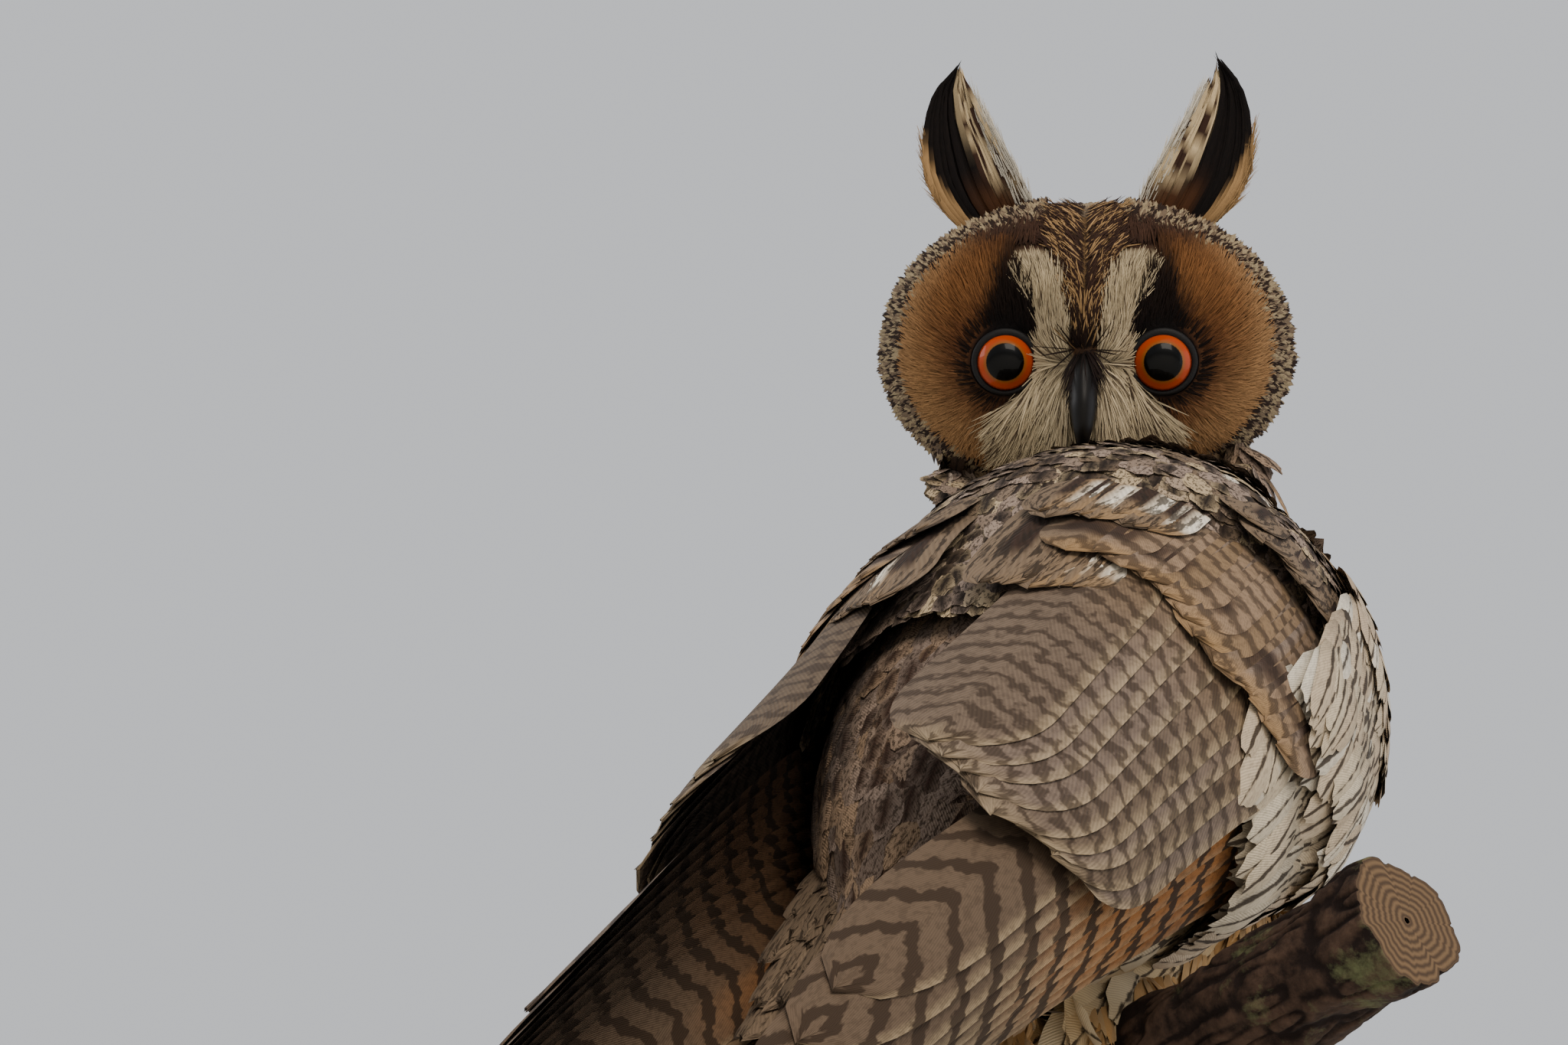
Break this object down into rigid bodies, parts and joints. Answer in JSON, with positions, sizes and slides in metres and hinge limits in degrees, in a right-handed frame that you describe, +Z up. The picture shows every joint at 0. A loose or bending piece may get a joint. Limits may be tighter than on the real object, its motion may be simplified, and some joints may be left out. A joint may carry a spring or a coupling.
{
  "type": "long-eared owl model",
  "caption": "Life-size model of a perched long-eared owl with ear tufts and its head turned back over its shoulder, gripping a cut branch on a flat base with rods.",
  "frame": {"origin": "centre of the underside of the stand's base, on the surface it stands on", "axes": "+Z up, -Y toward the bird's breast, -X to the bird's right side"},
  "size_m": [0.1667, 0.2563, 0.3534],
  "materials": {
    "base_wood": "dark stained wood, satin",
    "rod_steel": "fine brushed steel",
    "bark": "rough dark brown bark with grey-green lichen",
    "body_feathers": "soft buff and white feathers with dark brown streaks",
    "face_feathers": "short warm orange-brown disc feathers with white bands",
    "mottled_feathers": "grey-brown feathers mottled with black, buff and white",
    "barred_feathers": "buff-brown flight feathers with dark bars",
    "dark_feathers": "dark brown feathers with buff edges",
    "leg_feathers": "short buff feathers",
    "eye": "wet glossy eye with an orange-red iris and black pupil",
    "horn": "smooth black-grey horn"
  },
  "bodies": {
    "root": {"stand_base": "base_wood", "stand_rod_right": "rod_steel", "stand_rod_left": "rod_steel", "perch": "bark", "torso": "body_feathers", "head": "face_feathers", "neck": "mottled_feathers", "bill_upper": "horn", "bill_lower": "horn", "tail": "barred_feathers", "eye_right": "eye", "ear_tuft_right": "dark_feathers", "wing_arm_right": "mottled_feathers", "scapulars_right": "mottled_feathers", "secondaries_right": "barred_feathers", "primaries_right": "dark_feathers", "leg_right": "leg_feathers", "foot_right": "leg_feathers", "claw_inner_right": "horn", "claw_middle_right": "horn", "claw_outer_right": "horn", "claw_hind_right": "horn", "eye_left": "eye", "ear_tuft_left": "dark_feathers", "wing_arm_left": "mottled_feathers", "scapulars_left": "mottled_feathers", "secondaries_left": "barred_feathers", "primaries_left": "dark_feathers", "leg_left": "leg_feathers", "foot_left": "leg_feathers", "claw_inner_left": "horn", "claw_middle_left": "horn", "claw_outer_left": "horn", "claw_hind_left": "horn"}
  },
  "joints": []
}
